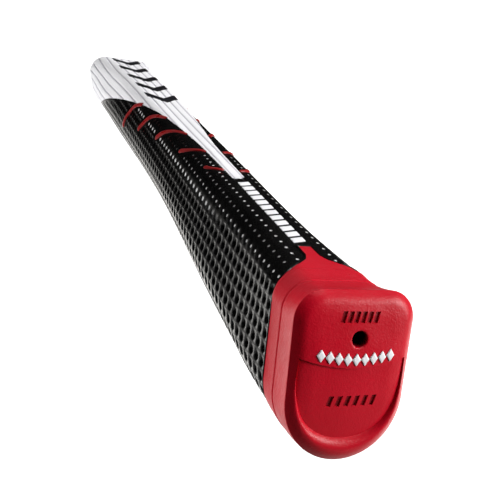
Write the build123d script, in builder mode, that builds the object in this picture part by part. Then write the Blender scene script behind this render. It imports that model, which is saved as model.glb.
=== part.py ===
"""Pistol putter grip: a moulded core in a two-colour wrap, with a red butt cap and a round shaft bore.

The origin is the centre of the shaft bore in the plane of the mouth. +Z runs up the bore to the butt
cap, -Y is the side of the thumb flat and +Y the side of the heel. All lengths are in millimetres.
"""

import os
from math import acos, atan, atan2, cos, hypot, pi, sin

from build123d import *

# Driving dimensions
bore_radius = 7.37  # a 0.580 in shaft
bore_depth = 271.0
mouth_ring_height = 3.0
mouth_edge_radius = 2.0
wrap_thickness = 1.2
backing_thickness = 0.6
glue_gap = 0.02
mark_height = 0.3
vent_radius = 2.0
vent_y = -2.4

# The section at each height: z, flat to axis, half width in front, corner radius, back to axis, back radius
stations = [
    (0, 9.8, 17.2, 8.2, 17.8, 15.5),
    (18, 10.1, 13.3, 7.3, 18.1, 14.4),
    (57, 10.9, 12.2, 6.8, 18.7, 14.4),
    (102, 10.6, 11.8, 7.1, 19.1, 14.3),
    (152, 10.6, 11.6, 7.3, 21.2, 14.2),
    (202, 10.6, 11.4, 7.5, 26.6, 14.4),
    (237, 10.6, 12.2, 7.5, 29.8, 14.4),
    (264, 10.8, 14.7, 7.8, 30.8, 14.6),
    (278, 11.1, 15.2, 7.7, 29.0, 14.8),
]

# The cap is square to a plane that leans back from the bore. Its sections are measured in that plane.
cap_slope = 0.25
sleeve_edge_z = 261.2
cap_rim_z = 278.85
cap_sections = [
    (-17.1, 15.5, 14.6, 7.8, 27.5, 14.6),
    (-9.8, 14.0, 15.1, 7.8, 29.0, 15.0),
    (0, 14.2, 16.7, 7.6, 29.4, 16.4),
]
crown_height = 3.0
crown_edge_height = 0.4
crown_half_width = 18.0
rim_bevel = 2.0

# The tongue of the cap that runs down the thumb flat
tongue_tip_z = 243.5
tongue_half_width = 2.2
tongue_root_half_width = 6.5
tongue_flare_half_width = 13.0
tongue_neck_z = 250.0
tongue_root_z = 254.5
tongue_overrun = 1.0
tongue_flare_tangent = (0.4, 1)

# The sunken crescent in the face: a step along an arc above, and a bevel round the bottom
crescent_half_width = 14.6
crescent_end_y = 2.4
crescent_arc_y = 4.7
crescent_floor_y = 22.6
crescent_bevel_y = 26.2
crescent_depth = 1.4
crescent_bevel_side = 0.8

# The edge of the white wrap: height, and distance round the section from the middle of the flat
white_edge = [
    (0, 41.5),
    (16, 32.7),
    (32, 25.7),
    (52, 20.2),
    (72, 15.6),
    (92, 11.1),
    (112, 7.3),
    (132, 5.0),
    (152, 3.3),
    (172, 2.7),
    (188, 2.4),
]
side_cut_top = 112
plan_cut_bottom = 72

# Accent ribs, each a line of (height, distance round the section) from the white edge outward
rib_lines = [
    ((92, 11.2), (84.6, 15.0), (81.6, 19.8), (79.4, 26.3)),
    ((118.2, 7.1), (109.8, 10.5), (104.9, 15.3), (102, 20.1)),
    ((140.9, 4.9), (134.2, 8.3), (128.9, 12.2), (124.9, 15.8)),
    ((161, 3.8), (159.4, 6.2), (156.4, 9.2), (152.5, 11.6)),
    ((181, 3.4), (180.3, 5.0), (178.5, 7.0), (175.6, 8.3)),
]
rib_width = 3.0

# Bars along the flat, chevrons near the mouth and lozenges on the cap
bar_count = 12
bar_first_z = 194.0
bar_pitch = 4.1
bar_height = 4.0
bar_width = 2.6
bar_slant = 1.4
chevron_heights = (5.0, 23.0, 43.0, 61.0, 79.0)
chevron_span = 7.0
chevron_rise = 8.0
chevron_thickness = 6.5
lozenge_count = 9
lozenge_pitch = 2.4
lozenge_size = 2.0
lozenge_arc_y = 2.6
lozenge_arc_bend = 0.011

reach = 60.0  # longer than any half section, for cutting tools
overcut = 2.0  # how far cutting tools run past the mouth

cap_plane = Plane(
    origin=(0, 0, cap_rim_z),
    x_dir=(1, 0, 0),
    z_dir=(0, -sin(atan(cap_slope)), cos(atan(cap_slope))),
)


def station_at(z):
    """The section sizes at height z, blended between the stations on either side."""
    for low, high in zip(stations, stations[1:]):
        if z <= high[0]:
            break
    share = (z - low[0]) / (high[0] - low[0])
    return [a + (b - a) * share for a, b in zip(low[1:], high[1:])]


def side_normal(half, flat, corner, back, back_r):
    """The angle of the straight side's outward normal, where it touches the corner and back circles."""
    dx, dy = half - corner, (corner - flat) - (back - back_r)
    return atan2(dy, dx) + acos((back_r - corner) / hypot(dx, dy))


def draw_section(flat, half, corner, back, back_r, inset=0.0):
    """The outline of one section: a flat front, two round corners, straight sides and a round back."""
    angle = side_normal(half, flat, corner, back, back_r)
    middle = (angle - pi / 2) / 2
    r, big = corner - inset, back_r - inset
    cx, cy, by = half - corner, corner - flat, back - back_r
    corner_end = (cx + r * cos(angle), cy + r * sin(angle))
    back_start = (big * cos(angle), by + big * sin(angle))
    Line((-cx, cy - r), (cx, cy - r))
    ThreePointArc((cx, cy - r), (cx + r * cos(middle), cy + r * sin(middle)), corner_end)
    Line(corner_end, back_start)
    ThreePointArc(back_start, (0, by + big), (-back_start[0], back_start[1]))
    Line((-back_start[0], back_start[1]), (-corner_end[0], corner_end[1]))
    left_middle = (-cx - r * cos(middle), cy + r * sin(middle))
    ThreePointArc((-corner_end[0], corner_end[1]), left_middle, (-cx, cy - r))


def grip_body(inset):
    """The whole outside of the grip, moved inwards by inset."""
    with BuildPart() as body:
        for z, *sizes in stations:
            with BuildSketch(Plane.XY.offset(z)):
                with BuildLine():
                    draw_section(*sizes, inset=inset)
                make_face()
        loft()
    return body.part


def surface_point(z, distance):
    """The point on the outside at height z, this far round the section from the middle of the flat."""
    flat, half, corner, back, back_r = station_at(z)
    cx, cy = half - corner, corner - flat
    if distance <= cx:
        return (distance, -flat, z)
    angle = side_normal(half, flat, corner, back, back_r)
    turned = (distance - cx) / corner
    if turned <= angle + pi / 2:
        return (cx + corner * sin(turned), cy - corner * cos(turned), z)
    along = distance - cx - corner * (angle + pi / 2)
    start = (cx + corner * cos(angle), cy + corner * sin(angle))
    end = (back_r * cos(angle), back - back_r + back_r * sin(angle))
    side = hypot(end[0] - start[0], end[1] - start[1])
    if along <= side:
        share = along / side
        return (start[0] + (end[0] - start[0]) * share, start[1] + (end[1] - start[1]) * share, z)
    angle += (along - side) / back_r
    return (back_r * cos(angle), back - back_r + back_r * sin(angle), z)


outside = grip_body(0)
under_wrap = grip_body(wrap_thickness)
under_wrap_gap = grip_body(wrap_thickness + glue_gap)
core_outside = grip_body(wrap_thickness + backing_thickness)
core_pocket = grip_body(wrap_thickness + backing_thickness - glue_gap)
mark_base = grip_body(-glue_gap)
mark_top = grip_body(-glue_gap - mark_height)

# Everything between the mouth ring and the leaning plane where the sleeve meets the cap
edge_plane = Plane(origin=(0, 0, sleeve_edge_z), x_dir=(1, 0, 0), z_dir=cap_plane.z_dir)
with BuildPart() as sleeve_zone:
    with BuildSketch(edge_plane):
        Rectangle(4 * reach, 4 * reach)
    extrude(amount=-2 * sleeve_edge_z)
    with BuildSketch(Plane.XY.offset(mouth_ring_height)):
        Rectangle(4 * reach, 4 * reach)
    extrude(amount=-2 * sleeve_edge_z, mode=Mode.SUBTRACT)

# The white wrap covers the front near the mouth and narrows to a spear on the flat
side_points = [surface_point(z, s) for z, s in white_edge if z <= side_cut_top]
plan_points = [surface_point(z, s) for z, s in white_edge if z >= plan_cut_bottom]
spear_tip_z = white_edge[-1][0]
with BuildPart() as white_zone:
    with BuildSketch(Plane.YZ):
        with BuildLine():
            side_edge = Spline([(y, z) for _, y, z in side_points])
            Polyline(
                side_edge @ 1,
                (0, side_cut_top),
                (0, spear_tip_z),
                (-reach, spear_tip_z),
                (-reach, -overcut),
                ((side_edge @ 0).X, -overcut),
                side_edge @ 0,
            )
        make_face()
    extrude(amount=reach, both=True)
    with BuildSketch(Plane.XZ):
        with BuildLine():
            plan_edge = Spline([(x, z) for x, _, z in plan_points])
            Polyline(
                plan_edge @ 1,
                (0, spear_tip_z),
                (0, -overcut),
                (reach, -overcut),
                (reach, plan_cut_bottom),
                plan_edge @ 0,
            )
        make_face()
        mirror(about=Plane.YZ)
    extrude(amount=reach, both=True, mode=Mode.INTERSECT)


def tongue_prism(gap):
    """The cap's tongue as seen from the front, grown by gap, cut through the front of the grip."""
    tip, root, wide = [w + gap for w in (tongue_half_width, tongue_root_half_width, tongue_flare_half_width)]
    low, high = tongue_tip_z - gap, sleeve_edge_z + tongue_overrun
    with BuildPart() as prism:
        with BuildSketch(Plane.XZ):
            with BuildLine():
                Polyline((0, high), (0, low), (tip, low), (tip, tongue_neck_z))
                Spline((tip, tongue_neck_z), (root, tongue_root_z), (wide, high), tangents=((0, 1), tongue_flare_tangent))
                Line((wide, high), (0, high))
            make_face()
            mirror(about=Plane.YZ)
        extrude(amount=reach)
    return prism.part


# Core: the moulded foam that holds the shape and the bore
with BuildPart() as core:
    add(core_outside)
    with BuildSketch(Plane.XY.offset(mouth_ring_height)):
        Rectangle(4 * reach, 4 * reach)
    extrude(amount=bore_depth - mouth_ring_height, mode=Mode.INTERSECT)
    with BuildSketch(Plane.XY):
        Circle(bore_radius)
    extrude(amount=bore_depth + overcut, mode=Mode.SUBTRACT)
core.part.label = "core"

# Backing: the felt that the wrap is laminated to
with BuildPart() as backing:
    add(under_wrap_gap)
    add(core_pocket, mode=Mode.SUBTRACT)
    add(sleeve_zone.part, mode=Mode.INTERSECT)
backing.part.label = "backing"

# Black and white wrap, with a window for the tongue of the cap
with BuildPart() as black_wrap:
    add(outside)
    add(under_wrap, mode=Mode.SUBTRACT)
    add(sleeve_zone.part, mode=Mode.INTERSECT)
    add(white_zone.part, mode=Mode.SUBTRACT)
    add(tongue_prism(glue_gap), mode=Mode.SUBTRACT)
black_wrap.part.label = "black_wrap"

with BuildPart() as white_wrap:
    add(outside)
    add(under_wrap, mode=Mode.SUBTRACT)
    add(sleeve_zone.part, mode=Mode.INTERSECT)
    add(white_zone.part, mode=Mode.INTERSECT)
white_wrap.part.label = "white_wrap"

# Mouth ring: the moulded lip that the shaft enters
with BuildPart() as mouth_ring:
    add(outside)
    with BuildSketch(Plane.XY):
        Rectangle(4 * reach, 4 * reach)
    extrude(amount=mouth_ring_height, mode=Mode.INTERSECT)
    fillet(mouth_ring.faces().sort_by(Axis.Z)[0].edges(), radius=mouth_edge_radius)
    with BuildSketch(Plane.XY):
        Circle(bore_radius)
    extrude(amount=mouth_ring_height, mode=Mode.SUBTRACT)
mouth_ring.part.label = "mouth_ring"


# Butt cap
def crown_arc(raised):
    """The curve across the face of the cap, moved out by raised."""
    low, high = crown_edge_height + raised, crown_height + raised
    return ThreePointArc((-crown_half_width, low), (0, high), (crown_half_width, low))


def crescent_outline(half, bottom):
    """The crescent's edge: an arc across the top and a deep curve round the bottom."""
    ThreePointArc((-half, crescent_end_y), (0, crescent_arc_y), (half, crescent_end_y))
    Spline((half, crescent_end_y), (0, bottom), (-half, crescent_end_y), tangents=((0, 1), (0, -1)))


with BuildPart() as core_space:
    add(core_pocket)
    with BuildSketch(Plane.XY):
        Rectangle(4 * reach, 4 * reach)
    extrude(amount=bore_depth + glue_gap, mode=Mode.INTERSECT)

with BuildPart() as tongue:
    add(outside)
    add(under_wrap, mode=Mode.SUBTRACT)
    add(tongue_prism(0), mode=Mode.INTERSECT)

crown_plane = Plane(origin=cap_plane.origin, x_dir=(1, 0, 0), z_dir=-cap_plane.y_dir)
with BuildPart() as butt_cap:
    for height, *sizes in cap_sections:
        with BuildSketch(cap_plane.offset(height)):
            with BuildLine():
                draw_section(*sizes)
            make_face()
    loft()
    for height, inset in ((0, 0), (crown_height, rim_bevel)):
        with BuildSketch(cap_plane.offset(height)):
            with BuildLine():
                draw_section(*cap_sections[-1][1:], inset=inset)
            make_face()
    loft(ruled=True)
    with BuildSketch(crown_plane):
        with BuildLine():
            crown = crown_arc(0)
            Polyline(crown @ 1, (crown_half_width, -reach), (-crown_half_width, -reach), crown @ 0)
        make_face()
    extrude(amount=reach, both=True, mode=Mode.INTERSECT)
    for height, half, bottom in (
        (crown_height - crescent_depth, crescent_half_width, crescent_floor_y),
        (crown_height + crescent_depth, crescent_half_width + crescent_bevel_side, crescent_bevel_y),
    ):
        with BuildSketch(cap_plane.offset(height)):
            with BuildLine():
                crescent_outline(half, bottom)
            make_face()
    loft(ruled=True, mode=Mode.SUBTRACT)
    add(core_space.part, mode=Mode.SUBTRACT)
    add(tongue.part)
    with BuildSketch(Plane.XY.offset(bore_depth)):
        with Locations((0, vent_y)):
            Circle(vent_radius)
    extrude(amount=reach, mode=Mode.SUBTRACT)
butt_cap.part.label = "butt_cap"

# Raised marks in a thin layer that follows the outside of the sleeve
with BuildPart() as mark_layer:
    add(mark_top)
    add(mark_base, mode=Mode.SUBTRACT)
    add(sleeve_zone.part, mode=Mode.INTERSECT)

rib_plane = Plane(origin=(0, 0, 0), x_dir=(sin(pi / 4), sin(pi / 4), 0), z_dir=(sin(pi / 4), -sin(pi / 4), 0))
with BuildPart() as accent_ribs:
    for rib_line in rib_lines:
        points = [rib_plane.to_local_coords(Vector(*surface_point(z, s))) for z, s in rib_line]
        with BuildSketch(rib_plane):
            with BuildLine():
                centre_line = Spline([(point.X, point.Y) for point in points])
            trace(centre_line, rib_width)
        extrude(amount=reach)
    mirror(about=Plane.YZ)
    add(mark_layer.part, mode=Mode.INTERSECT)
accent_ribs.part.label = "accent_ribs"

with BuildPart() as flat_bars:
    with BuildSketch(Plane.XZ):
        for index in range(bar_count):
            low, high = -bar_height / 2, bar_height / 2
            middle_z = bar_first_z + index * bar_pitch
            with BuildLine():
                Polyline(
                    (low, middle_z - bar_width / 2 - bar_slant / 2),
                    (high, middle_z - bar_width / 2 + bar_slant / 2),
                    (high, middle_z + bar_width / 2 + bar_slant / 2),
                    (low, middle_z + bar_width / 2 - bar_slant / 2),
                    close=True,
                )
            make_face()
    extrude(amount=reach)
    add(mark_layer.part, mode=Mode.INTERSECT)
flat_bars.part.label = "flat_bars"

with BuildPart() as mouth_chevrons:
    with BuildSketch(Plane.XZ):
        for low_z in chevron_heights:
            with BuildLine():
                Polyline(
                    (-chevron_span, low_z),
                    (0, low_z + chevron_rise),
                    (chevron_span, low_z),
                    (chevron_span, low_z + chevron_thickness),
                    (0, low_z + chevron_rise + chevron_thickness),
                    (-chevron_span, low_z + chevron_thickness),
                    close=True,
                )
            make_face()
    extrude(amount=reach)
    add(mark_layer.part, mode=Mode.INTERSECT)
mouth_chevrons.part.label = "mouth_chevrons"

# Raised lozenges in a row along the crescent
with BuildPart() as cap_lozenges:
    with BuildSketch(crown_plane):
        with BuildLine():
            lower = crown_arc(glue_gap)
            upper = crown_arc(glue_gap + mark_height)
            Line(lower @ 0, upper @ 0)
            Line(lower @ 1, upper @ 1)
        make_face()
    extrude(amount=reach, both=True)
    with BuildSketch(cap_plane):
        for index in range(lozenge_count):
            x = (index - (lozenge_count - 1) / 2) * lozenge_pitch
            with Locations((x, lozenge_arc_y - lozenge_arc_bend * x * x)):
                RegularPolygon(lozenge_size / 2, side_count=4, rotation=45)
    extrude(amount=reach, mode=Mode.INTERSECT)
cap_lozenges.part.label = "cap_lozenges"

pieces = (
    core,
    backing,
    black_wrap,
    white_wrap,
    mouth_ring,
    butt_cap,
    accent_ribs,
    flat_bars,
    mouth_chevrons,
    cap_lozenges,
)
os.makedirs("parts", exist_ok=True)
for piece in pieces:
    export_step(piece.part, f"parts/{piece.part.label}.step")
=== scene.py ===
import math

import bmesh
import bpy
import numpy as np
from mathutils import Matrix, Vector
from mathutils.geometry import delaunay_2d_cdt


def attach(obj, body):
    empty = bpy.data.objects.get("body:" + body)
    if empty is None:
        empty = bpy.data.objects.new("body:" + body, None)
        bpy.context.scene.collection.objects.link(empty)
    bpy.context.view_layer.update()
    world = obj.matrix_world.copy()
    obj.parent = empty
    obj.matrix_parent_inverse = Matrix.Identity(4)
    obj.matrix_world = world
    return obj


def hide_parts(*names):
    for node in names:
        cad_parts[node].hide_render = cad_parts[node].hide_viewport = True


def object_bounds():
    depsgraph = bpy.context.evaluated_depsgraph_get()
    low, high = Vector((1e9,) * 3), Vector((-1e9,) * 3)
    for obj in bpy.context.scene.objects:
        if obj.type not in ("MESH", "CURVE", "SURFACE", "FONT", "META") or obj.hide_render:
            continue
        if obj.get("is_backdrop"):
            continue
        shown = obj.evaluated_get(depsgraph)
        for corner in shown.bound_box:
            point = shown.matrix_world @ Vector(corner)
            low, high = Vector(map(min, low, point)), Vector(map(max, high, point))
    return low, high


# The looks of a putter grip, built round its CAD frame. Shapes are worked out in millimetres, in the
# CAD's own axes: +Z up the bore to the cap, -Y the thumb flat, +X the side that the camera sees.

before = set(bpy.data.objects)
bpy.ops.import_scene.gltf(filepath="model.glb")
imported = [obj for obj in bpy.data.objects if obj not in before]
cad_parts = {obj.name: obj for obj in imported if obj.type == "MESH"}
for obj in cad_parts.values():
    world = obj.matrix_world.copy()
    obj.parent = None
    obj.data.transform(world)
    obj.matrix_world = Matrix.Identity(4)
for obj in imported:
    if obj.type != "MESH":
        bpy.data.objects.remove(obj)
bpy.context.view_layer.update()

MM = 0.001
PI = math.pi

# ---------------------------------------------------------------- sizes shared with the CAD source
# z, flat to axis, half width in front, corner radius, back to axis, back radius.
# The rows began as the rounded result of a fit to the photo. The white zone's edge and the ribs were
# read off the photo laid over that shape, partly by a script.
STATIONS = np.array([
    (0, 9.8, 17.2, 8.2, 17.8, 15.5),
    (18, 10.1, 13.3, 7.3, 18.1, 14.4),
    (57, 10.9, 12.2, 6.8, 18.7, 14.4),
    (102, 10.6, 11.8, 7.1, 19.1, 14.3),
    (152, 10.6, 11.6, 7.3, 21.2, 14.2),
    (202, 10.6, 11.4, 7.5, 26.6, 14.4),
    (237, 10.6, 12.2, 7.5, 29.8, 14.4),
    (264, 10.8, 14.7, 7.8, 30.8, 14.6),
    (278, 11.1, 15.2, 7.7, 29.0, 14.8),
], float)
# height above the rim of the cap, then the same sizes, square to the leaning cap
CAP_SECTIONS = np.array([
    (-17.1, 15.5, 14.6, 7.8, 27.5, 14.6),
    (-9.8, 14.0, 15.1, 7.8, 29.0, 15.0),
    (0, 14.2, 16.7, 7.6, 29.4, 16.4),
], float)
CAP_SLOPE = 0.25
CAP_RIM_Z = 278.85
SLEEVE_EDGE = 261.2
MOUTH_RING_TOP = 3.0
MOUTH_EDGE_RADIUS = 2.0
BORE_RADIUS = 7.37
WHITE_TOP = 188.0
WHITE_EDGE = np.array([
    (0, 41.5), (16, 32.7), (32, 25.7), (52, 20.2), (72, 15.6), (92, 11.1),
    (112, 7.3), (132, 5.0), (152, 3.3), (172, 2.7), (188, 2.4),
], float)
RIB_LINES = (
    ((92, 10.8), (84.6, 15.0), (81.6, 19.8), (79.4, 26.3)),
    ((118.2, 6.7), (109.8, 10.5), (104.9, 15.3), (102, 20.1)),
    ((140.9, 4.5), (134.2, 8.3), (128.9, 12.2), (124.9, 15.8)),
    ((161, 3.2), (159.4, 6.2), (156.4, 9.2), (152.5, 11.6)),
    ((181, 2.9), (180.3, 5.0), (178.5, 7.0), (175.6, 8.3)),
)
RIB_WIDTHS = (2.7, 2.6, 2.3, 2.0, 1.7)
LEAN_FADE_LOW, LEAN_FADE_HIGH = 20.0, 102.0  # the lattice starts to lean here, and leans fully here
JOIN_GAP = 0.02
EDGE_TUCK = -0.6  # the edge of a skin is turned this far into the grip


# ---------------------------------------------------------------- small maths helpers
def smooth(t):
    """An eased step from 0 to 1."""
    t = np.clip(t, 0, 1)
    return t * t * (3 - 2 * t)


def spline(knots, values, at):
    """Natural cubic spline through values at knots, read at any places."""
    knots, values, at = np.asarray(knots, float), np.asarray(values, float), np.asarray(at, float)
    n, h = len(knots), np.diff(knots)
    system, right = np.eye(n), np.zeros((n, *values.shape[1:]))
    slope = np.diff(values, axis=0) / h.reshape(-1, *[1] * (values.ndim - 1))
    for i in range(1, n - 1):
        system[i, i - 1:i + 2] = h[i - 1], 2 * (h[i - 1] + h[i]), h[i]
        right[i] = 6 * (slope[i] - slope[i - 1])
    bend = np.linalg.solve(system, right.reshape(n, -1)).reshape(right.shape)
    k = np.clip(np.searchsorted(knots, at) - 1, 0, n - 2)
    extra = [1] * (values.ndim - 1)
    a = ((knots[k + 1] - at) / h[k]).reshape(*at.shape, *extra)
    b, hk = 1 - a, h[k].reshape(*at.shape, *extra)
    curve = (a**3 - a) * bend[k] + (b**3 - b) * bend[k + 1]
    return a * values[k] + b * values[k + 1] + curve * hk**2 / 6


def section_at(sizes, s, inset=0.0):
    """A point of a section at distance s from the middle of its flat, and the outward normal there."""
    flat, half, corner, back, back_r = np.moveaxis(sizes, -1, 0)
    corner, back_r, flat, half, back = (
        corner - inset, back_r - inset, flat - inset, half - inset, back - inset)
    cx, cy, by = half - corner, corner - flat, back - back_r
    angle = np.arctan2(cy - by, cx) + np.arccos(np.clip((back_r - corner) / np.hypot(cx, cy - by), -1, 1))
    start = np.stack([cx + corner * np.cos(angle), cy + corner * np.sin(angle)], -1)
    end = np.stack([back_r * np.cos(angle), by + back_r * np.sin(angle)], -1)
    side = np.linalg.norm(end - start, axis=-1)
    turn = corner * (angle + PI / 2)
    length = cx + turn + side + back_r * (PI / 2 - angle)
    distance = np.minimum(np.abs(s), length)
    around = np.clip((distance - cx) / corner, 0, angle + PI / 2) - PI / 2
    along = np.clip((distance - cx - turn) / side, 0, 1)
    behind = angle + np.maximum((distance - cx - turn - side) / back_r, 0)
    on_front, on_corner = distance <= cx, distance <= cx + turn
    on_side = distance <= cx + turn + side
    x = np.where(on_front, distance, np.where(on_corner, cx + corner * np.cos(around), np.where(
        on_side, start[..., 0] + (end - start)[..., 0] * along, back_r * np.cos(behind))))
    y = np.where(on_front, -flat, np.where(on_corner, cy + corner * np.sin(around), np.where(
        on_side, start[..., 1] + (end - start)[..., 1] * along, by + back_r * np.sin(behind))))
    facing = np.where(on_front, -PI / 2, np.where(on_corner, around, np.where(on_side, angle, behind)))
    side_of = np.where(s < 0, -1.0, 1.0)
    return side_of * x, y, side_of * np.cos(facing), np.sin(facing), length


def sizes_at(z):
    """The five sizes of the section at height z."""
    return spline(STATIONS[:, 0], STATIONS[:, 1:], z)


def half_girth(z):
    """Distance round the section from the middle of the flat to the middle of the back."""
    z = np.asarray(z, float)
    return section_at(sizes_at(z), np.zeros_like(z))[4]


def on_grip(z, s, lift=0.0):
    """Points on the outside of the grip at height z and distance s round it, lifted along the normal."""
    z, s = np.broadcast_arrays(np.asarray(z, float), np.asarray(s, float))
    step = 0.5
    x, y, nx, ny, _ = section_at(sizes_at(z), s)
    x1, y1, *_ = section_at(sizes_at(z + step), s)
    x0, y0, *_ = section_at(sizes_at(z - step), s)
    rise = ((x1 - x0) * nx + (y1 - y0) * ny) / (2 * step)
    normal = np.stack([nx, ny, -rise], -1)
    normal /= np.linalg.norm(normal, axis=-1, keepdims=True)
    return np.stack([x, y, z], -1) + normal * np.asarray(lift, float)[..., None]


def lean(w, s):
    """Height of the point at distance s in the lattice plane w, which leans with the cap."""
    w, s = np.broadcast_arrays(np.asarray(w, float), np.asarray(s, float))
    slope = CAP_SLOPE * smooth((w - LEAN_FADE_LOW) / (LEAN_FADE_HIGH - LEAN_FADE_LOW))
    z = w.copy()
    for _ in range(4):
        z = w + slope * section_at(sizes_at(z), s)[1]
    return z


def white_half(z):
    """Half width of the white zone at height z, measured round the grip."""
    return spline(WHITE_EDGE[:, 0], WHITE_EDGE[:, 1], z)


# ---------------------------------------------------------------- mesh helpers
def make_object(name, points, faces, material, weld=0.0, sharp=None, **marks):
    """A mesh piece. The marks, finish and painted light, are numbers from 0 to 1 at each point for its
    material; painted light is painted shade or a painted highlight.
    """
    mesh = bpy.data.meshes.new(name)
    mesh.from_pydata((np.asarray(points).reshape(-1, 3) * MM).tolist(), [], faces)
    for mark, values in marks.items():
        layer = mesh.attributes.new(mark, "FLOAT", "POINT")
        layer.data.foreach_set("value", np.asarray(values, np.float32).ravel())
    if weld:
        work = bmesh.new()
        work.from_mesh(mesh)
        bmesh.ops.remove_doubles(work, verts=work.verts, dist=weld * MM)
        loose = [v for v in work.verts if not v.link_faces]
        bmesh.ops.delete(work, geom=loose, context="VERTS")
        bmesh.ops.recalc_face_normals(work, faces=work.faces)
        work.to_mesh(mesh)
        work.free()
    mesh.validate()
    mesh.update()
    mesh.polygons.foreach_set("use_smooth", [True] * len(mesh.polygons))
    if sharp is not None:
        mesh.set_sharp_from_angle(angle=math.radians(sharp))
    mesh.materials.append(material)
    thing = bpy.data.objects.new(name, mesh)
    bpy.context.scene.collection.objects.link(thing)
    return thing


def grid_faces(rows, columns, keep=None, start=0, wrap=False):
    """Quads of a grid of points, row by row."""
    row, column = np.meshgrid(np.arange(rows - 1), np.arange(columns if wrap else columns - 1), indexing="ij")
    if keep is not None:
        row, column = row[keep], column[keep]
    right = (column + 1) % columns
    quads = np.stack([row * columns + column, row * columns + right,
                      (row + 1) * columns + right, (row + 1) * columns + column], -1)
    return (quads.reshape(-1, 4) + start).tolist()


def join_grids(grids, wrap=False):
    """One list of points and faces from several grids of points."""
    points, faces, start = [], [], 0
    for grid in grids:
        rows, columns = grid.shape[:2]
        points.append(grid.reshape(-1, 3))
        faces += grid_faces(rows, columns, start=start, wrap=wrap)
        start += rows * columns
    return np.concatenate(points), faces


def finish_piece(thing, slot, *replaced):
    """Put a piece on the part's one body, in place of the named CAD nodes, which it hides. The slot is not
    used.
    """
    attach(thing, "root")
    if replaced:
        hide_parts(*replaced)


# ---------------------------------------------------------------- materials
def new_material(name):
    material = bpy.data.materials.new(name)
    material.use_nodes = True
    tree = material.node_tree
    return material, tree, tree.nodes["Principled BSDF"]


def noise(tree, scale, detail=3.0):
    """A noise texture in the object's own coordinates, scale per metre."""
    place = tree.nodes.new("ShaderNodeTexCoord")
    texture = tree.nodes.new("ShaderNodeTexNoise")
    texture.inputs["Scale"].default_value = scale
    texture.inputs["Detail"].default_value = detail
    tree.links.new(place.outputs["Object"], texture.inputs["Vector"])
    return texture.outputs["Fac"]


def ramp(tree, source, stops):
    """A colour ramp with (place, colour) stops."""
    node = tree.nodes.new("ShaderNodeValToRGB")
    while len(node.color_ramp.elements) < len(stops):
        node.color_ramp.elements.new(0.5)
    for element, (place, colour) in zip(node.color_ramp.elements, stops):
        element.position = place
        element.color = (*colour, 1)
    tree.links.new(source, node.inputs["Fac"])
    return node.outputs["Color"]


def ranged(tree, source, low, high):
    """The noise's usual span of 0.3 to 0.7, stretched to run from low to high."""
    node = tree.nodes.new("ShaderNodeMapRange")
    node.inputs["From Min"].default_value = 0.3
    node.inputs["From Max"].default_value = 0.7
    node.inputs["To Min"].default_value = low
    node.inputs["To Max"].default_value = high
    tree.links.new(source, node.inputs["Value"])
    return node.outputs["Result"]


def bump(tree, shader, source, distance):
    node = tree.nodes.new("ShaderNodeBump")
    node.inputs["Strength"].default_value = 1.0
    node.inputs["Distance"].default_value = distance * MM
    tree.links.new(source, node.inputs["Height"])
    tree.links.new(node.outputs["Normal"], shader.inputs["Normal"])


def mark_value(tree, mark):
    node = tree.nodes.new("ShaderNodeAttribute")
    node.attribute_name = mark
    return node.outputs["Fac"]


def mixed(tree, kind, share, first, second):
    """A mix of two sockets, or of a socket and a plain value, by share."""
    node = tree.nodes.new("ShaderNodeMix")
    node.data_type = kind
    tree.links.new(share, node.inputs["Factor"])
    ports = [port for port in node.inputs if port.type == ("RGBA" if kind == "RGBA" else "VALUE")]
    for port, value in zip(ports[-2:], (first, second)):
        if isinstance(value, bpy.types.NodeSocket):
            tree.links.new(value, port)
        else:
            port.default_value = value
    return next(port for port in node.outputs if port.enabled)


def rubber(name, dark, light, rough, grain, grain_scale, specular=0.5, patches=60.0,
           shade_colour=None, finish_rough=None, finish_grain=None):
    """Moulded rubber: a slow drift of colour and gloss, with a fine moulded grain.
    It turns to its painted light colour where the piece's painted light mark is 1, a painted shade or painted
    highlight, and to the finish values where its finish is 1."""
    material, tree, shader = new_material(name)
    colour = ramp(tree, noise(tree, patches, 4), ((0.3, dark), (0.7, light)))
    gloss = ranged(tree, noise(tree, patches * 6), *rough)
    height = noise(tree, grain_scale, 2)
    if shade_colour:
        colour = mixed(tree, "RGBA", mark_value(tree, "shade"), colour, (*shade_colour, 1))
    if finish_rough:
        gloss = mixed(tree, "FLOAT", mark_value(tree, "finish"), gloss, finish_rough)
    if finish_grain:
        height = mixed(tree, "FLOAT", mark_value(tree, "finish"), height, noise(tree, finish_grain, 3))
    tree.links.new(colour, shader.inputs["Base Color"])
    tree.links.new(gloss, shader.inputs["Roughness"])
    shader.inputs["Specular IOR Level"].default_value = specular
    bump(tree, shader, height, grain)
    return material


# painted highlight: the black rubber turns pale grey where its painted light mark is 1, the dots and beads
# that stand in for the glints in its pits
black_rubber = rubber("black_rubber", (0.0025, 0.0025, 0.0028), (0.0050, 0.0048, 0.0047),
                      (0.21, 0.27), 0.006, 2600, finish_rough=0.15, shade_colour=(0.80, 0.80, 0.80))
# painted shade: the white rubber turns lilac grey where its painted light mark is 1, in the floors of its
# grooves
white_rubber = rubber("white_rubber", (0.83, 0.825, 0.85), (0.87, 0.865, 0.885),
                      (0.42, 0.52), 0.012, 2200, shade_colour=(0.50, 0.48, 0.54))
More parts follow.
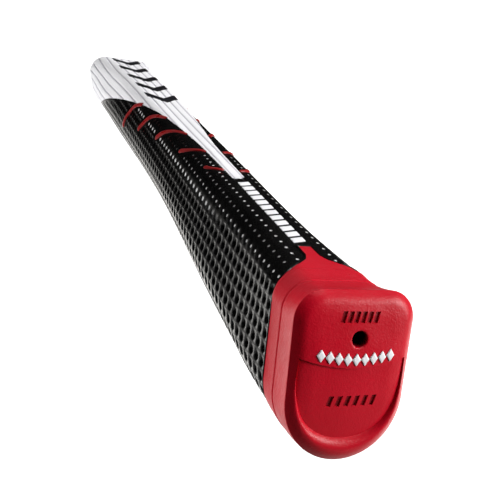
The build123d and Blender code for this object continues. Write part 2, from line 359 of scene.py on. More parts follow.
# painted shade: the red rubber turns near black where its painted light mark is 1, inside the vent and on the
# floors of the engraved marks
red_rubber = rubber("red_rubber", (0.47, 0.001, 0.011), (0.54, 0.002, 0.016),
                    (0.33, 0.40), 0.10, 2400, specular=0.22,
                    finish_grain=1250, shade_colour=(0.02, 0.0, 0.001))
rib_rubber = rubber("rib_rubber", (0.26, 0.004, 0.005), (0.34, 0.007, 0.008), (0.26, 0.34), 0.01, 2400)
ink_white = rubber("ink_white", (0.78, 0.78, 0.80), (0.86, 0.86, 0.88), (0.40, 0.5), 0.006, 3000)
ink_black = rubber("ink_black", (0.006, 0.006, 0.008), (0.012, 0.012, 0.016), (0.4, 0.5), 0.006, 3000)
core_foam = rubber("core_foam", (0.020, 0.020, 0.021), (0.034, 0.033, 0.033), (0.75, 0.9), 0.06, 1400)
felt = rubber("felt", (0.20, 0.20, 0.205), (0.32, 0.315, 0.31), (0.85, 0.95), 0.10, 1800)

# ---------------------------------------------------------------- black sleeve with its lattice of pits
PIT_ROWS = 18
ROW_PITCH, COLUMN_PITCH = 3.85, 3.9
FIRST_ROW, LAST_COLUMN = 5.75, 258.7
RINGS = 4
# by ring, from a pit's middle out to the edge of its cell
PIT_RADII = np.array([0.0, 0.70, 1.08, 1.32, 0.0])
PIT_HEIGHTS = np.array([-1.0, -0.88, -0.36, 0.02, 0.0])
PIT_SHINE = np.array([1.0, 1, 0.9, 0.1, 0])
# the next row: how white each ring's filling is in a dot or bead, a painted highlight
PIT_GLINT_PAINT = np.array([1.0, 1, 0.4, 0, 0])
WHITE_CLEAR, RIB_CLEAR, SEAM_CLEAR, TONGUE_CLEAR = 0.8, 1.6, 1.2, 1.2  # plain rubber left beside each
WHITE_FADE, CLEAR_FADE, TONGUE_FADE = 3.0, 1.2, 1.0  # and how far the pits take to reach their depth
DOT_ROWS = 4  # row 0 is plain, and the rows from 1 to 3 hold dots: small shallow pits, filled white as a painted highlight in place of their glints
DOT_SIZE, DOT_DEPTH = 0.40, 0.18
DOT_GLINT_STRENGTHS = (0, 1, 0.4, 1, 1)  # how white each dot row's painted highlight is, and last the bead row
DOT_FADE_LOW, DOT_FADE = 138.0, 45.0
BEAD_SIZE, BEAD_TOP, BEAD_FADE = 0.66, 208.0, 20.0  # row 4, on the corner, has beads below BEAD_TOP, filled white as a painted highlight too
# the sleeve dips under the white skin and the tongue, and ends well inside their edges
TUCK_DEPTH, TUCK_START, TUCK_FADE, TUCK_END = 0.5, 0.15, 0.6, 1.6
SEAM_DEPTH, SEAM_HALF = 0.35, 0.9
# the tongue's outline: height above its tip, half width
TONGUE = np.array([
    (0, 2.2), (6.0, 2.3), (8.5, 3.4), (11.4, 6.5), (13.5, 10.0), (14.3, 14.0), (15.0, 19.0),
])
TONGUE_LENGTH = 15.0


def tongue_half(w):
    """Half width of the cap's tongue in the lattice plane w."""
    up = w - (SLEEVE_EDGE - TONGUE_LENGTH)
    return np.where(up < 0, -1.0, np.interp(up, TONGUE[:, 0], TONGUE[:, 1]))


def rib_points(line, count=41):
    """A rib's middle line as a smooth curve through its few points."""
    line = np.array(line, float)
    reach = np.concatenate([[0], np.cumsum(np.hypot(*np.diff(line, axis=0).T))])
    return spline(reach, line, np.linspace(0, reach[-1], count))


rib_paths = [rib_points(line) for line in RIB_LINES]


def rib_distance(z, s):
    """How far a place is from the nearest rib."""
    best = np.full(z.shape, 99.0)
    for path in rib_paths:
        for pz, ps in path[::2]:
            best = np.minimum(best, np.hypot(z - pz, np.abs(s) - ps))
    return best


def squeeze(w):
    """How far the lattice has drawn together at height w, from 1 at the cap."""
    return np.interp(w, (60, 120, 235), (0.78, 0.82, 1.0))


def column_centres():
    """Heights of the lattice's columns, from the mouth to the cap."""
    centres = [LAST_COLUMN]
    while centres[-1] > MOUTH_RING_TOP:
        centres.append(centres[-1] - COLUMN_PITCH * squeeze(centres[-1]))
    return np.array(centres[::-1])


def round_cell(li, lj):
    """The square ring of each of a cell's points, and its direction, as if that ring were a circle."""
    ring = np.maximum(np.abs(li), np.abs(lj))
    sideways = np.abs(li) >= np.abs(lj)
    share = np.where(sideways, lj, li) / np.maximum(ring, 1)
    tilt = PI / 4 * share * np.where(sideways, np.sign(li), np.sign(lj))
    around = np.where(sideways, np.cos(tilt) * np.sign(li), np.sin(tilt) * np.sign(lj))
    along = np.where(sideways, np.sin(tilt) * np.sign(li), np.cos(tilt) * np.sign(lj))
    return ring, around, along


def pit_depth(row, cell_w, cell_s, cell_z):
    """How deep a cell's pit is, from 0 to 1: it fades out beside the white skin, ribs, seam and tongue."""
    depth = smooth((cell_s - white_half(np.minimum(cell_z, WHITE_TOP)) - WHITE_CLEAR) / WHITE_FADE)
    depth = np.where(cell_z > WHITE_TOP - 4, 1.0, depth) * (row > 0)
    depth *= smooth((rib_distance(cell_z, cell_s) - RIB_CLEAR) / CLEAR_FADE)
    depth *= smooth((half_girth(cell_z) - cell_s - SEAM_CLEAR) / CLEAR_FADE)
    return depth * smooth((cell_s - tongue_half(cell_w) - TONGUE_CLEAR) / TONGUE_FADE)


def painted_pit_glints(row, ring, depth, cell_z, beaded, dotted):
    """How white the filling of the dots and beads is at each point: a painted highlight, in place of the
    glints in the pits.
    """
    strength = np.choose(np.minimum(row, DOT_ROWS), DOT_GLINT_STRENGTHS) * (depth > 0.5) * dotted
    strength *= np.where(beaded, smooth((BEAD_TOP - cell_z) / BEAD_FADE),
                         smooth((cell_z - DOT_FADE_LOW) / DOT_FADE))
    return PIT_GLINT_PAINT[ring] * strength


def sleeve_half(sign):
    """One side of the sleeve. Each pit is a cell of square rings, drawn round inside the outermost one."""
    per = 2 * RINGS
    centres = column_centres()
    columns = len(centres)
    middles = (centres[1:] + centres[:-1]) / 2
    edges = np.concatenate([[2 * centres[0] - middles[0]], middles, [2 * centres[-1] - middles[-1]]])
    first_s = FIRST_ROW - 1.5 * ROW_PITCH
    i, j = np.meshgrid(np.arange(PIT_ROWS * per + 1), np.arange(columns * per + 1), indexing="ij")
    row, column = np.minimum(i // per, PIT_ROWS - 1), np.minimum(j // per, columns - 1)
    li, lj = i - row * per - RINGS, j - column * per - RINGS
    cell_w = centres[column]
    tight = squeeze(cell_w)
    cell_s = (first_s + (row + 0.5) * ROW_PITCH) * tight
    cell_z = lean(cell_w, cell_s)
    ring, around, along = round_cell(li, lj)
    beaded = (row == DOT_ROWS) & (cell_z < BEAD_TOP)
    dotted = (row < DOT_ROWS) | beaded
    size = np.where(beaded, BEAD_SIZE, np.where(dotted, DOT_SIZE, 1)) * tight
    radius = PIT_RADII[ring] * size
    edge = ring == RINGS
    to_edge = np.where(lj < 0, cell_w - edges[column], edges[column + 1] - cell_w)
    w = cell_w + np.where(edge, lj / RINGS * to_edge, radius * along)
    s = np.where(edge, (first_s + (row + 0.5 + li / per) * ROW_PITCH) * squeeze(w), cell_s + radius * around)
    w = np.where(j == columns * per, SLEEVE_EDGE - 0.05, w)
    s = np.where(i == 0, 0.0, s)
    z = np.maximum(lean(w, s), MOUTH_RING_TOP + JOIN_GAP)
    girth = half_girth(z)
    clamped = s >= girth
    depth = pit_depth(row, cell_w, cell_s, cell_z)
    height = PIT_HEIGHTS[ring] * depth * np.where(dotted, DOT_DEPTH, 1)
    inside = np.where(z < WHITE_TOP + 0.5, white_half(np.minimum(z, WHITE_TOP)) - s, -1)
    inside = np.maximum(inside, tongue_half(w) - s)
    height -= TUCK_DEPTH * smooth((inside - TUCK_START) / TUCK_FADE)
    height -= SEAM_DEPTH * smooth(1 - (girth - s) / SEAM_HALF)
    points = on_grip(z, sign * np.minimum(s, girth - 1e-6), height)
    hidden = (inside > TUCK_END) | clamped
    keep = ~(hidden[:-1, :-1] & hidden[1:, :-1] & hidden[:-1, 1:] & hidden[1:, 1:])
    faces = grid_faces(*points.shape[:2], keep=keep)
    if sign > 0:
        faces = [face[::-1] for face in faces]
    # painted highlight: white in the dots and beads, where the pits' glints would be
    glint_paint = painted_pit_glints(row, ring, depth, cell_z, beaded, dotted)
    return make_object("black_wrap_" + ("near" if sign > 0 else "far"), points, faces, black_rubber,
                       weld=0.002, finish=PIT_SHINE[ring] * depth, shade=glint_paint)


finish_piece(sleeve_half(1), "black_wrap", "black_wrap")
finish_piece(sleeve_half(-1), "black_wrap")


def tube_along(path, normals, radius, sides=8):
    """A thin round bead along a path on the surface."""
    forward = np.gradient(path, axis=0)
    forward /= np.linalg.norm(forward, axis=1, keepdims=True)
    across = np.cross(forward, normals)
    turn = np.linspace(0, 2 * PI, sides, endpoint=False)
    ring = np.cos(turn)[None, :, None] * across[:, None] + np.sin(turn)[None, :, None] * normals[:, None]
    return path[:, None] + ring * radius


def edge_line(count=60):
    """The sleeve's edge round the tongue and along the cap, as (w, s), from the tongue's tip outward."""
    tip_w = SLEEVE_EDGE - TONGUE_LENGTH
    tip = [(tip_w, s) for s in np.linspace(0, TONGUE[0, 1] - 0.3, 5)]
    sides = [(tip_w + up, tongue_half(tip_w + up)) for up in np.linspace(0.3, TONGUE_LENGTH, count)]
    rest = [(SLEEVE_EDGE, s) for s in np.linspace(TONGUE[-1, 1], 62, 60)[1:]]
    return np.array(tip + sides + rest)


EDGE_BEAD_RADIUS, EDGE_BEAD_DROP, EDGE_BEAD_LIFT = 0.33, 0.25, 0.02
bead_grids = []
for sign in (1, -1):
    line = edge_line()
    z = lean(line[:, 0], line[:, 1])
    s = np.minimum(line[:, 1], half_girth(z) - 1e-6)
    low = on_grip(z - EDGE_BEAD_DROP, sign * s, 0 * z)
    high = on_grip(z - EDGE_BEAD_DROP, sign * s, 0 * z + 1)
    bead_grids.append(tube_along(low + (high - low) * EDGE_BEAD_LIFT, high - low, EDGE_BEAD_RADIUS))
points, faces = join_grids(bead_grids, wrap=True)
finish_piece(make_object("black_wrap_edge", points, faces, black_rubber, weld=0.005), "black_wrap")

# ---------------------------------------------------------------- white skin with its long grooves
# across a groove: distance from its middle, depth
GROOVE_PROFILE = (
    (-0.75, 0.0), (-0.45, -0.06), (-0.2, -0.28), (0.0, -0.36), (0.2, -0.28), (0.45, -0.06), (0.75, 0.0),
)
GROOVE_FADE_LOW, GROOVE_FADE_HIGH = 162, 184
WHITE_LIFT = 0.12
SPEAR_TIP_LEAN = 0.35


def groove_pitch(z):
    """Distance between the grooves at height z."""
    return np.interp(z, (32, 132, WHITE_TOP), (3.85, 3.5, 3.4))


def white_skin():
    """The white skin on a grid of long lines, which follow the grooves and stop at the zone's edge."""
    lines, depths = [], []
    for k in range(-11, 11):
        for offset, depth in GROOVE_PROFILE:
            lines.append((k + 0.5, offset))
            depths.append(depth)
        for share in (0.8, 1.0, 1.2):
            lines.append((k + share, 0.0))
            depths.append(0.0)
    lines, depths = np.array(lines), np.array(depths)
    z = np.concatenate([[MOUTH_RING_TOP + JOIN_GAP], np.arange(4.5, WHITE_TOP - 0.5, 1.5), [WHITE_TOP]])
    zz = np.repeat(z[:, None], len(lines) + 2, 1)
    s = lines[:, 0] * groove_pitch(z)[:, None] + lines[:, 1]
    s = np.concatenate([np.full((len(z), 1), -99.0), s, np.full((len(z), 1), 99.0)], 1)
    limit = white_half(zz)
    inner = np.clip(s, -limit, limit)
    rim = smooth((limit - np.abs(inner)) / 0.5)
    fade = smooth((GROOVE_FADE_HIGH - zz) / (GROOVE_FADE_HIGH - GROOVE_FADE_LOW))
    lift = np.concatenate([[0], depths, [0]])[None] * fade * rim + WHITE_LIFT * rim + JOIN_GAP
    lift[:, [0, -1]] = EDGE_TUCK
    zz = zz + np.where(zz >= WHITE_TOP - 0.1, inner * SPEAR_TIP_LEAN, 0)
    points = on_grip(zz, inner, lift)
    end = on_grip(zz[-1:], inner[-1:], np.full((1, len(lines) + 2), EDGE_TUCK))
    points = np.concatenate([points, end])
    faces = grid_faces(*points.shape[:2])
    # painted shade, strongest at the floor of each groove
    sunk = np.concatenate([[0], depths / min(depths), [0]])[None] * np.ones((len(points), 1))
    return make_object("white_skin", points, faces, white_rubber, weld=0.004, sharp=50, shade=sunk)


finish_piece(white_skin(), "white_wrap", "white_wrap")


# ---------------------------------------------------------------- raised ribs and flat marks
def rib_grid(path, width, sign, height=0.5, across=13):
    """A rounded rib along a path of (z, s), with round ends."""
    steps = np.diff(path, axis=0)
    reach = np.concatenate([[0], np.cumsum(np.hypot(*steps.T))])
    way = np.gradient(path, axis=0)
    way /= np.linalg.norm(way, axis=1, keepdims=True)
    side = np.stack([-way[:, 1], way[:, 0]], 1)
    half = width / 2
    from_end = np.minimum(reach + half * 0.2, reach[-1] - reach)
    shrink = np.sqrt(np.clip(1 - (1 - np.clip(from_end / half, 0, 1)) ** 2, 0, 1))
    swell = 0.72 + 0.28 * smooth(reach / reach[-1] * 1.3 - 0.2)
    turn = np.linspace(-PI / 2, PI / 2, across)
    off = np.sin(turn)[None] * (half * shrink * swell)[:, None]
    up = np.cos(turn)[None] ** 0.8 * (height * shrink)[:, None] - 0.06
    z = path[:, :1] + side[:, :1] * off
    s = path[:, 1:] + side[:, 1:] * off
    return on_grip(z, sign * s, up)


ribs = [rib_grid(path, width, sign) for sign in (1, -1) for path, width in zip(rib_paths, RIB_WIDTHS)]
points, faces = join_grids(ribs)
finish_piece(make_object("red_ribs", points, faces, rib_rubber, weld=0.003), "red_accent", "accent_ribs")


def raised_panel(place, height, rows, columns, bevel=0.12):
    """A raised panel over a patch: place(u, v) gives points of the patch for shares from 0 to 1."""
    u = np.concatenate([[0, 0], np.linspace(bevel, 1 - bevel, rows), [1, 1]])
    v = np.concatenate([[0, 0], np.linspace(bevel / 2, 1 - bevel / 2, columns), [1, 1]])
    uu, vv = np.meshgrid(u, v, indexing="ij")
    rank_u = np.minimum(np.arange(len(u)), np.arange(len(u))[::-1])
    rank_v = np.minimum(np.arange(len(v)), np.arange(len(v))[::-1])
    rank = np.minimum(rank_u[:, None], rank_v[None])
    lift = np.choose(np.minimum(rank, 2), (-0.1, 0.7 * height, height))
    return place(uu, vv, lift)


BAR_COUNT, BAR_FIRST_Z, BAR_PITCH = 12, 194.0, 4.1
BAR_HALF, BAR_WIDTH, BAR_SLANT, BAR_HEIGHT = 2.1, 2.7, 1.4, 0.22
CHEVRON_HEIGHTS = (5.0, 23.0, 43.0, 61.0, 79.0)
CHEVRON_SPAN, CHEVRON_RISE, CHEVRON_THICKNESS, CHEVRON_HEIGHT = 7.0, 8.0, 6.5, 0.16


def bar_place(middle):
    def place(u, v, lift):
        s = (v * 2 - 1) * BAR_HALF
        return on_grip(middle + (u - 0.5) * BAR_WIDTH + s / BAR_HALF * BAR_SLANT / 2, s, lift)
    return place


bars = [raised_panel(bar_place(BAR_FIRST_Z + BAR_PITCH * n), BAR_HEIGHT, 4, 6) for n in range(BAR_COUNT)]
points, faces = join_grids(bars)
finish_piece(make_object("flat_bars_white", points, faces, ink_white, weld=0.003, sharp=40),
             "white_mark", "flat_bars")


def chevron_place(low):
    def place(u, v, lift):
        s = (v * 2 - 1) * CHEVRON_SPAN
        rise = CHEVRON_RISE * (1 - np.abs(v * 2 - 1))
        return on_grip(low + rise + u * CHEVRON_THICKNESS, s, lift + WHITE_LIFT)
    return place


chevrons = [raised_panel(chevron_place(low), CHEVRON_HEIGHT, 6, 21) for low in CHEVRON_HEIGHTS]
points, faces = join_grids(chevrons)
finish_piece(make_object("mouth_chevrons_black", points, faces, ink_black, weld=0.003, sharp=40),
             "black_mark", "mouth_chevrons")

# ---------------------------------------------------------------- mouth ring
ROUND_STEPS = 7
LIP_COLUMNS = 160
share = np.linspace(-1, 1, LIP_COLUMNS, endpoint=False)
outside = [(0, MOUTH_RING_TOP), (0, 2.2)]
outside += [(MOUTH_EDGE_RADIUS * (1 - math.cos(a)), MOUTH_EDGE_RADIUS * (1 - math.sin(a)))
            for a in np.linspace(0, PI / 2, ROUND_STEPS)]
bore_lip = ((0.6, 0.0), (0.2, 0.12), (0.02, 0.6), (0.02, MOUTH_RING_TOP))  # past the bore's radius, height
ring_rows = []
for inset, z in outside:
    sizes = np.broadcast_to(sizes_at(np.array(z)), (LIP_COLUMNS, 5))
    length = section_at(sizes, share * 0, inset)[4]
    x, y, *_ = section_at(sizes, share * length, inset)
    ring_rows.append(np.stack([x, y, np.full(LIP_COLUMNS, z)], -1))
outer = ring_rows[-1]
facing = np.arctan2(outer[:, 0], -outer[:, 1])
for past, z in bore_lip:
    radius = BORE_RADIUS + past
    x, y = radius * np.sin(facing), -radius * np.cos(facing)
    ring_rows.append(np.stack([x, y, np.full(LIP_COLUMNS, z)], -1))
points = np.stack(ring_rows)
faces = grid_faces(*points.shape[:2], wrap=True)
finish_piece(make_object("mouth_lip", points, faces, white_rubber, weld=0.004, sharp=50),
             "mouth_ring", "mouth_ring")

# ---------------------------------------------------------------- butt cap
lean_angle = math.atan(CAP_SLOPE)
cap_across = np.array((1.0, 0, 0))
cap_back = np.array((0, math.cos(lean_angle), math.sin(lean_angle)))
cap_out = np.array((0, -math.sin(lean_angle), math.cos(lean_angle)))
CAP_COLUMNS = 360
SEAM = -10.2  # the parting step, in height above the rim
CAP_PROUD = 0.12


def in_cap(x, y, up):
    """Points from places in the cap's leaning plane, at heights above its rim."""
    x, y, up = np.broadcast_arrays(x, y, up)
    return (np.array((0, 0, CAP_RIM_Z)) + x[..., None] * cap_across + y[..., None] * cap_back
            + up[..., None] * cap_out)


def cap_sizes(up):
    """Section sizes at a height below the rim, on the curve through the three sections of the CAD."""
    a, b, c = CAP_SECTIONS
    return (a[1:] * (up - b[0]) * (up - c[0]) / ((a[0] - b[0]) * (a[0] - c[0]))
            + b[1:] * (up - a[0]) * (up - c[0]) / ((b[0] - a[0]) * (b[0] - c[0]))
            + c[1:] * (up - a[0]) * (up - b[0]) / ((c[0] - a[0]) * (c[0] - b[0])))


def cap_outline(up, inset, count=CAP_COLUMNS):
    """The cap's outline at a height, as x and y, drawn in by inset."""
    sizes = np.broadcast_to(cap_sizes(min(up, 0.0)), (count, 5))
    around = np.linspace(-1, 1, count, endpoint=False)
    length = section_at(sizes, around * 0, inset)[4]
    x, y, *_ = section_at(sizes, around * length, inset)
    return x, y


# height above the rim, inset
skirt_profile = [(-17.9, 1.0), (-17.62, 0.35), (-17.5, 0.06), (-17.3, -0.10)]
skirt_profile += [(up, -CAP_PROUD) for up in np.arange(-16.8, SEAM - 0.5, 0.6)]
skirt_profile += [(SEAM - 0.32, -CAP_PROUD), (SEAM - 0.16, 0.0)]
skirt_profile += [(SEAM, 0.10), (SEAM + 0.16, 0.10), (SEAM + 0.3, 0.02)]
skirt_profile += [(up, 0.0) for up in np.arange(SEAM + 0.9, -0.6, 0.6)]
skirt_profile += [(-0.3, 0.0), (-0.12, 0.03), (0.0, 0.10), (0.08, 0.22)]
skirt = []
for up, inset in skirt_profile:
    x, y = cap_outline(up, inset)
    skirt.append(in_cap(x, y, np.full(CAP_COLUMNS, up)))
skirt = np.stack(skirt)
above_seam = np.array([smooth((up - SEAM) / 0.3) for up, _ in skirt_profile])
coarse_skirt = above_seam[:, None] * np.ones(CAP_COLUMNS)

# The face: its rim, the sunken panel under the arc, and the engraved and punched details
FACE_START_UP, FACE_START_INSET = 0.08, 0.22
FACE_RING_INSETS = (0.25, 0.5, 0.8, 1.1, 1.5, 1.9, 2.3, 2.8, 3.3, 4.0, 4.8, 5.7)
FACE_GRID_INSET, FACE_GRID_STEP, FACE_LOOP_CLEAR = 6.2, 0.62, 0.12
RIM_WIDTH, RIM_RISE, DOME_RISE = 3.2, 1.62, 1.35
PANEL_TOP_DEPTH, PANEL_LOW_DEPTH = 0.5, 1.6
VENT = (-0.4, -2.5)
VENT_RINGS = ((2.42, 0.0), (2.25, -0.05), (2.10, -0.20), (2.02, -0.5))  # radius, drop
VENT_SPOKES = 48
VENT_DEPTHS = (0.0, 1.5, 3.5, 6.0, 8.0)
# painted shade down the vent's wall, row by row from its rim
VENT_SHADES = (0.6, 1, 1, 1, 1)


def panel_loop(half, low_points, arc_drop):
    """The panel's outline: an arc across the top, then round the bottom, closed."""
    arc_x = np.linspace(-half, half, 61)
    arc = np.stack([arc_x, 4.7 - 2.3 * (arc_x / 14.6) ** 2 + arc_drop], 1)
    right = np.array(low_points, float)
    low = np.concatenate([right, (right * (-1, 1))[::-1][1:]])
    anchor = np.concatenate([[arc[-1]], low, [arc[0]]])
    reach = np.concatenate([[0], np.cumsum(np.linalg.norm(np.diff(anchor, axis=0), axis=1))])
    curve = spline(reach, anchor, np.linspace(0, reach[-1], 131))
    return np.concatenate([arc, curve[1:-1]])


panel_rim = panel_loop(14.7, ((14.85, 7.0), (14.6, 12.0), (12.9, 18.6), (7.7, 24.2), (0, 26.3)), 0.0)
panel_floor = panel_loop(14.5, ((14.6, 7.0), (14.0, 12.0), (11.4, 18.1), (6.3, 22.0), (0, 23.2)), 0.14)


def slanted_mark(x, y, width, height, slant=0.35):
    """The corners of a small slanted bar."""
    return np.array([(x - width / 2 - slant, y - height / 2), (x + width / 2 - slant, y - height / 2),
                     (x + width / 2 + slant, y + height / 2), (x - width / 2 + slant, y + height / 2)])


MARK_PLACES = (-2.5, -1.5, -0.5, 0.5, 1.5, 2.5)  # in shares of a row's pitch
engraved = [slanted_mark(1.8 * place, -7.9, 1.25, 2.9) for place in MARK_PLACES]
engraved += [slanted_mark(2.4 * place - 0.8, 13.4, 1.35, 2.8) for place in MARK_PLACES]
# how deep the engraved marks are, and how much painted shade darkens their floors
ENGRAVED_DEPTH, ENGRAVED_SHADE = 0.45, 0.55
ENGRAVED_FLOOR = (0.72, 0.86)  # the size of a mark's floor, in shares of the mark


def distance_to_loop(points, loop):
    best = np.full(len(points), 1e9)
    for start, end in zip(loop, np.roll(loop, -1, 0)):
        way = end - start
        t = np.clip((points - start) @ way / max(way @ way, 1e-12), 0, 1)
        best = np.minimum(best, np.hypot(*(points - start - t[:, None] * way).T))
    return best


def inside_loop(points, loop):
    inside = np.zeros(len(points), bool)
    for (x0, y0), (x1, y1) in zip(loop, np.roll(loop, -1, 0)):
        crosses = (y0 > points[:, 1]) != (y1 > points[:, 1])
        if abs(y1 - y0) > 1e-12:
            at = x0 + (points[:, 1] - y0) / (y1 - y0) * (x1 - x0)
            inside ^= crosses & (points[:, 0] < at)
    return inside


face_rim = np.stack(cap_outline(0, FACE_START_INSET), 1)


def shell_height(points):
    """The crowned face before anything is sunk into it."""
    inset = distance_to_loop(points, face_rim[::2])
    rim = 1 - (1 - np.clip(inset / RIM_WIDTH, 0, 1)) ** 2.0
    from_middle = (points[:, 0] / 16.5) ** 2 + ((points[:, 1] - 7.0) / 21.5) ** 2
    return FACE_START_UP + RIM_RISE * rim + DOME_RISE * np.exp(-1.1 * from_middle) * smooth(inset / 6.0)


def face_height(points):
    """The face with its panel sunk in, before the marks and the vent."""
    up = shell_height(points)
    in_rim = inside_loop(points, panel_rim)
    in_floor = inside_loop(points, panel_floor)
    to_rim, to_floor = distance_to_loop(points, panel_rim), distance_to_loop(points, panel_floor)
    part = np.where(in_floor, 1.0, np.where(in_rim, to_rim / np.maximum(to_rim + to_floor, 1e-6), 0.0))
    deep = np.interp(points[:, 1], (4, 23), (PANEL_TOP_DEPTH, PANEL_LOW_DEPTH))
    return up - part**2.2 * deep


def face_loops():
    """The outlines that the face's triangles follow, and the floors of its engraved marks."""
    loops, mark_floors = [panel_rim, panel_floor], []
    for mark in engraved:
        centre = mark.mean(0)
        dense = np.concatenate([np.linspace(mark[k], mark[(k + 1) % 4], 6, endpoint=False) for k in range(4)])
        mark_floors.append(centre + (dense - centre) * ENGRAVED_FLOOR)
        loops += [dense, mark_floors[-1]]
    turn = np.linspace(0, 2 * PI, VENT_SPOKES, endpoint=False)
    for radius, _ in VENT_RINGS:
        loops.append(np.stack([VENT[0] + radius * np.cos(turn), VENT[1] + radius * np.sin(turn)], 1))
    return loops, mark_floors


def face_fill(loops):
    """Points that fill the face clear of the loops: rings along its rim, and a grid inside."""
    free = [np.stack(cap_outline(0, FACE_START_INSET + d, 240), 1) for d in FACE_RING_INSETS]
    free += [panel_rim + (panel_floor - panel_rim) * share for share in (0.3, 0.55, 0.75, 0.9)]
    step = FACE_GRID_STEP
    gx, gy = np.meshgrid(np.arange(-17, 17, step), np.arange(-15, 30, step * 0.87))
    gx[::2] += step / 2
    grid = np.stack([gx.ravel(), gy.ravel()], 1)
    grid = grid[inside_loop(grid, np.stack(cap_outline(0, FACE_START_INSET + FACE_GRID_INSET), 1))]
    points = np.concatenate([*free, grid])
    clear = np.ones(len(points), bool)
    for loop in loops:
        clear &= distance_to_loop(points, loop) > FACE_LOOP_CLEAR
    return points[clear]


def build_face():
    """The face as triangles, with the painted shade of each of its points."""
    loops, mark_floors = face_loops()
    constrained = [face_rim, *loops]
    edges, start = [], 0
    for loop in constrained:
        count = len(loop)
        edges += [(start + k, start + (k + 1) % count) for k in range(count)]
        start += count
    everything = np.concatenate([*constrained, face_fill(loops)])
    result = delaunay_2d_cdt([Vector(p) for p in everything], edges, [], 0, 1e-5)
    flat = np.array([tuple(v) for v in result[0]])
    triangles = np.array([tuple(f) for f in result[2]])
    middle = flat[triangles].mean(1)
    hub = np.array(VENT)
    keep = inside_loop(middle, face_rim) & (np.hypot(*(middle - hub).T) > VENT_RINGS[-1][0] * 0.998)
    triangles = triangles[keep]
    up = face_height(flat)
    dark = np.zeros(len(flat))
    # the engraved floors are sunk, and darkened with painted shade
    for mark, mark_floor in zip(engraved, mark_floors):
        centre = mark.mean(0)
        sunk = inside_loop(flat, centre + (mark_floor - centre) * 1.02)
        up -= ENGRAVED_DEPTH * sunk
        dark += ENGRAVED_SHADE * sunk
    from_hub = np.hypot(*(flat - hub).T)
    radii, drops = zip(*VENT_RINGS[::-1])
    up += np.interp(from_hub, radii, drops)
    # painted shade round the vent's rim
    dark += np.interp(from_hub, (radii[0], radii[1]), (VENT_SHADES[0], 0))
    return in_cap(flat[:, 0], flat[:, 1], up), triangles.tolist(), dark


face_points, face_triangles, face_shade = build_face()
hub_up = float(face_height(np.array([VENT]))[0]) + VENT_RINGS[-1][1]
turn = np.linspace(0, 2 * PI, VENT_SPOKES, endpoint=False)
vent_rows = []
for down in VENT_DEPTHS:
    x = VENT[0] + VENT_RINGS[-1][0] * np.cos(turn)
    y = VENT[1] + VENT_RINGS[-1][0] * np.sin(turn)
    rim_up = face_height(np.stack([x, y], 1)) + VENT_RINGS[-1][1]
    level = rim_up if down == 0 else np.full_like(x, hub_up - down)
    vent_rows.append(in_cap(x, y - down * math.sin(lean_angle), level))
vent_wall = np.stack(vent_rows)

tongue_up = np.concatenate([[0, 0, 0.12], np.linspace(0.5, TONGUE_LENGTH + 0.5, 50)])
tongue_side = np.concatenate([[-1, -1, -0.96], np.linspace(-0.88, 0.88, 23), [0.96, 1, 1]])
tw, ts = np.meshgrid(SLEEVE_EDGE - TONGUE_LENGTH + tongue_up, tongue_side, indexing="ij")
half = tongue_half(np.minimum(tw, SLEEVE_EDGE - 0.001))
lift = np.full(tw.shape, CAP_PROUD)
lift[:, [1, -2]] = 0.04
lift[1] = 0.04
lift[:, [0, -1]] = EDGE_TUCK
lift[0] = EDGE_TUCK
tongue = on_grip(lean(tw, ts * half), ts * half, lift)

points = np.concatenate([skirt.reshape(-1, 3), face_points, vent_wall.reshape(-1, 3), tongue.reshape(-1, 3)])
start = skirt.shape[0] * CAP_COLUMNS
faces = grid_faces(*skirt.shape[:2], wrap=True)
faces += [[a + start, b + start, c + start] for a, b, c in face_triangles]
start += len(face_points)
faces += grid_faces(*vent_wall.shape[:2], start=start, wrap=True)
start += vent_wall.shape[0] * vent_wall.shape[1]
faces += grid_faces(*tongue.shape[:2], start=start)
coarse = np.concatenate([coarse_skirt.ravel(), np.full(len(points) - coarse_skirt.size, 0.5)])
# painted shade: the vent's wall is darkened towards near black
vent_shade = np.repeat(VENT_SHADES, len(turn))
dark = np.concatenate([np.zeros(coarse_skirt.size), face_shade, vent_shade, np.zeros(tongue.size // 3)])
cap = make_object("red_cap", points, faces, red_rubber, weld=0.004, sharp=42, finish=coarse, shade=dark)
finish_piece(cap, "red_cap", "butt_cap")


def on_face(x, y, lift):
    """Points above the cap's face."""
    flat = np.stack([np.ravel(x), np.ravel(y)], 1)
    up = face_height(flat).reshape(np.shape(x))
    return in_cap(x, y, up + lift)


LOZENGE_COUNT, LOZENGE_PITCH, LOZENGE_HEIGHT = 9, 2.4, 0.3
LOZENGE_HALF_WIDTH, LOZENGE_HALF_LENGTH = 1.12, 1.56
LOZENGE_ROW_Y, LOZENGE_ROW_BOW = 2.5, 0.011  # the row's middle, and how it bows


def lozenge_place(x, y):
    def place(u, v, lift):
        a, b = u - 0.5, v - 0.5
        return on_face(x + (a + b) * LOZENGE_HALF_WIDTH, y + (a - b) * LOZENGE_HALF_LENGTH, lift)
    return place


lozenges = []
for n in range(LOZENGE_COUNT):
    x = (n - LOZENGE_COUNT // 2) * LOZENGE_PITCH
    place = lozenge_place(x, LOZENGE_ROW_Y - LOZENGE_ROW_BOW * x * x)
    lozenges.append(raised_panel(place, LOZENGE_HEIGHT, 5, 5, bevel=0.1))
points, faces = join_grids(lozenges)
finish_piece(make_object("cap_lozenges_white", points, faces, ink_white, weld=0.003, sharp=40),
             "cap_mark", "cap_lozenges")

# ---------------------------------------------------------------- CAD pieces that stay, with their own finish
for node, material in (("core", core_foam), ("backing", felt)):
    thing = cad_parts[node]
    thing.data.materials.clear()
    thing.data.materials.append(material)

# ---------------------------------------------------------------- floor, light and camera
FLOOR_Z = -320.0
FLOOR_RADIUS, SKY_RADIUS = 9000, 8900


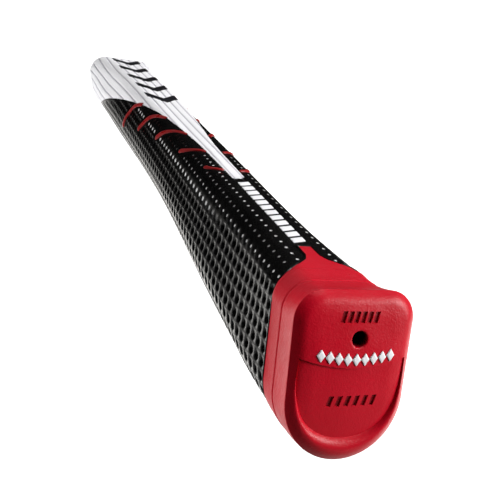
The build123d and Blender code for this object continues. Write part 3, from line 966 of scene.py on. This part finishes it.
def stage_material():
    """Pale paper that glows a little."""
    material, tree, shader = new_material("floor_paper")
    tree.links.new(ramp(tree, noise(tree, 2, 2), ((0.3, (0.90, 0.90, 0.90)), (0.7, (0.92, 0.92, 0.92)))),
                   shader.inputs["Base Color"])
    shader.inputs["Roughness"].default_value = 0.9
    shader.inputs["Emission Color"].default_value = (1, 1, 1, 1)
    shader.inputs["Emission Strength"].default_value = 0.75
    return material


rings, spokes = 8, 64
turns = np.linspace(0, 2 * PI, spokes, endpoint=False)
turn, radius = np.meshgrid(turns, np.linspace(0.01, FLOOR_RADIUS, rings))
floor_points = np.stack([radius * np.cos(turn), radius * np.sin(turn), np.full(turn.shape, FLOOR_Z)], -1)
floor = make_object("floor", floor_points, grid_faces(rings, spokes, wrap=True), stage_material())
floor.visible_glossy = False
floor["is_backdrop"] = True

turn, rise = np.meshgrid(turns, np.linspace(0, PI / 2 - 0.01, 16))
sky_points = np.stack([SKY_RADIUS * np.cos(turn) * np.cos(rise), SKY_RADIUS * np.sin(turn) * np.cos(rise),
                       FLOOR_Z - 1 + SKY_RADIUS * np.sin(rise)], -1)
sky = make_object("backdrop", sky_points, grid_faces(*turn.shape[:2], wrap=True), stage_material())
sky.visible_diffuse = sky.visible_glossy = sky.visible_shadow = False
sky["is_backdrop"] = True

world = bpy.data.worlds.new("studio")
bpy.context.scene.world = world
world.use_nodes = True
tree = world.node_tree
background = tree.nodes["Background"]
place = tree.nodes.new("ShaderNodeTexCoord")
split = tree.nodes.new("ShaderNodeSeparateXYZ")
tree.links.new(place.outputs["Generated"], split.inputs["Vector"])


def world_range(axis, start, end, low, high):
    """A value that runs from low to high as the view's direction on an axis runs from start to end."""
    node = tree.nodes.new("ShaderNodeMapRange")
    for name, value in (("From Min", start), ("From Max", end), ("To Min", low), ("To Max", high)):
        node.inputs[name].default_value = value
    tree.links.new(split.outputs[axis], node.inputs["Value"])
    return node.outputs["Result"]


def product(first, second):
    node = tree.nodes.new("ShaderNodeMath")
    node.operation = "MULTIPLY"
    tree.links.new(first, node.inputs[0])
    tree.links.new(second, node.inputs[1])
    return node.outputs["Value"]


# brightest in a band behind the grip, on its far side and below, and dark in front
band = product(world_range("Y", 0.12, 0.42, 0.004, 1.0), world_range("Y", 0.46, 0.7, 1.0, 0.3))
sides = product(world_range("X", -0.12, 0.33, 3.0, 0.6), world_range("Z", 0.0, 0.6, 1.0, 0.25))
background.inputs["Color"].default_value = (0.92, 0.90, 0.87, 1)
tree.links.new(product(band, sides), background.inputs["Strength"])


def area_light(name, place, target, size, power, glossy=True):
    """A soft rectangular light, hidden from the camera."""
    data = bpy.data.lights.new(name, "AREA")
    data.shape = "RECTANGLE"
    data.size, data.size_y = size[0] * MM, size[1] * MM
    data.energy = power
    light = bpy.data.objects.new(name, data)
    light.location = Vector(place) * MM
    way = (Vector(target) - Vector(place)).normalized()
    light.rotation_mode = "QUATERNION"
    light.rotation_quaternion = way.to_track_quat("-Z", "Y")
    light.visible_camera = False
    light.visible_glossy = glossy
    bpy.context.scene.collection.objects.link(light)


area_light("key", (-750, -420, 732), (0, 0, 242), (600, 400), 13.5)
area_light("front", (-150, -900, 262), (0, 0, 132), (350, 250), 2.4)
area_light("side", (620, 480, -238), (0, 0, 212), (450, 450), 8, glossy=False)

CAMERA_PLACE = Vector((99.814, -89.402, 425.257))
camera_data = bpy.data.cameras.new("camera")
camera = bpy.data.objects.new("camera", camera_data)
bpy.context.scene.collection.objects.link(camera)
bpy.context.scene.camera = camera
camera_data.sensor_width = 36.0
camera_data.lens = 57.664
camera_data.clip_start, camera_data.clip_end = 0.01, 100
# the picture's right and down, and the way the camera looks
right = Vector((-0.920439, -0.194785, 0.338896))
down = Vector((-0.03764, 0.907133, 0.419157))
ahead = Vector((-0.389069, 0.373053, -0.842293))
turned = Matrix((right, -down, -ahead)).transposed()
camera.matrix_world = Matrix.Translation(CAMERA_PLACE * MM) @ turned.to_4x4()

bpy.context.scene.view_settings.view_transform = "Standard"

low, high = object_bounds()
